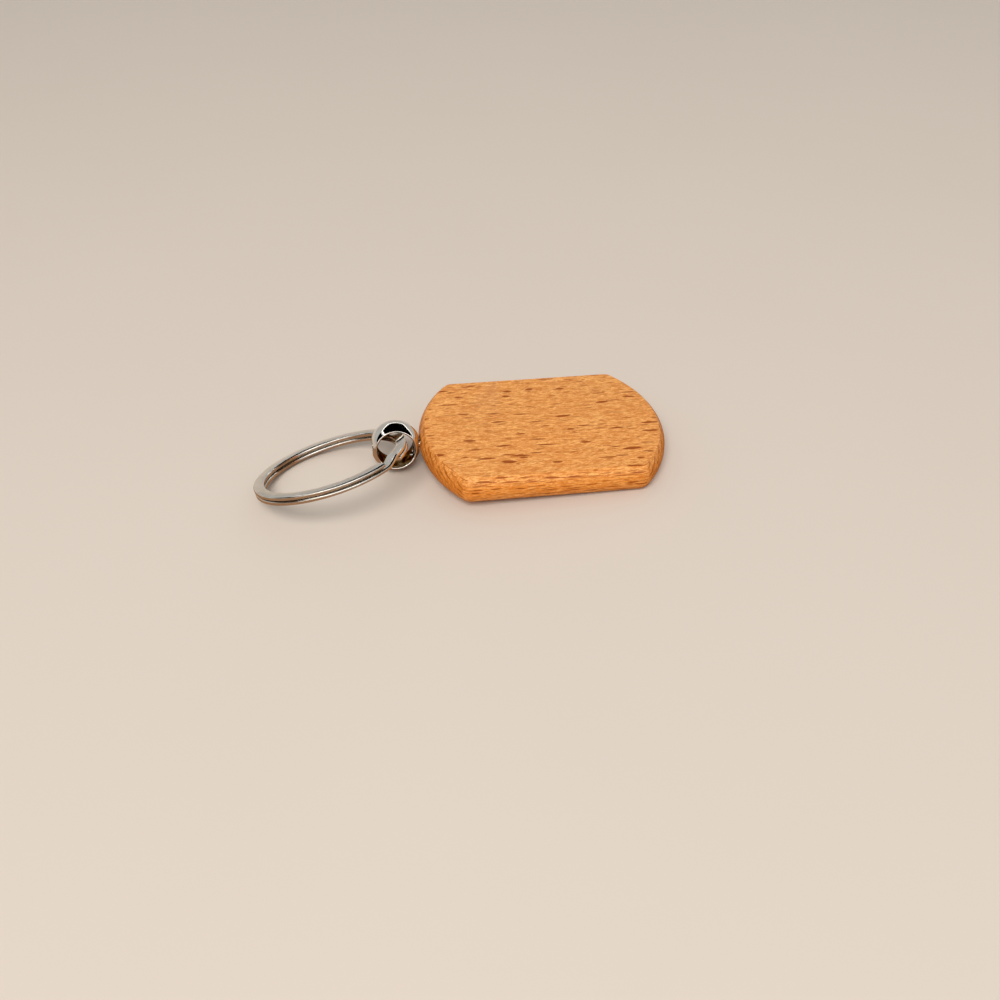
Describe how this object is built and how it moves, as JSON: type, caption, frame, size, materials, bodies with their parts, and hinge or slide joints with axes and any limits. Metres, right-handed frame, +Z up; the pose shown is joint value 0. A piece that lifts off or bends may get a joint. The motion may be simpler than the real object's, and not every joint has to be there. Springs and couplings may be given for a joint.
{
  "type": "keychain",
  "caption": "Keychain with a flat varnished beech fob, a cross-bored metal bead that swivels on a screw, and a flat-wire split ring threaded through the bead.",
  "frame": {"origin": "on the table, below the middle of the whole keychain's bounding box", "axes": "+X along the keychain from the ring to the fob's far end, +Y across the fob, +Z up from the table"},
  "size_m": [0.0822, 0.0386, 0.0126],
  "materials": {
    "beech": "satin varnish over plain beech, grain along the fob",
    "bead_plating": "polished nickel plating",
    "screw_steel": "plain plated steel",
    "ring_plating": "polished nickel plating"
  },
  "bodies": {
    "fob": {"wooden_fob": "beech", "bead_screw": "screw_steel"},
    "bead": {"bead": "bead_plating"},
    "ring": {"split_ring": "ring_plating"}
  },
  "joints": [
    {"name": "bead_swivel", "type": "hinge", "parent": "fob", "child": "bead", "pos_m": [-0.01312, 0.00151, 0.00525], "axis": [0.9989, 0, -0.0463], "continuous": true},
    {"name": "ring_swing", "type": "hinge", "parent": "bead", "child": "ring", "pos_m": [-0.01312, 0.00151, 0.00525], "axis": [-0.0088, 0.9816, -0.1906], "range_deg": [-108, 130]}
  ]
}
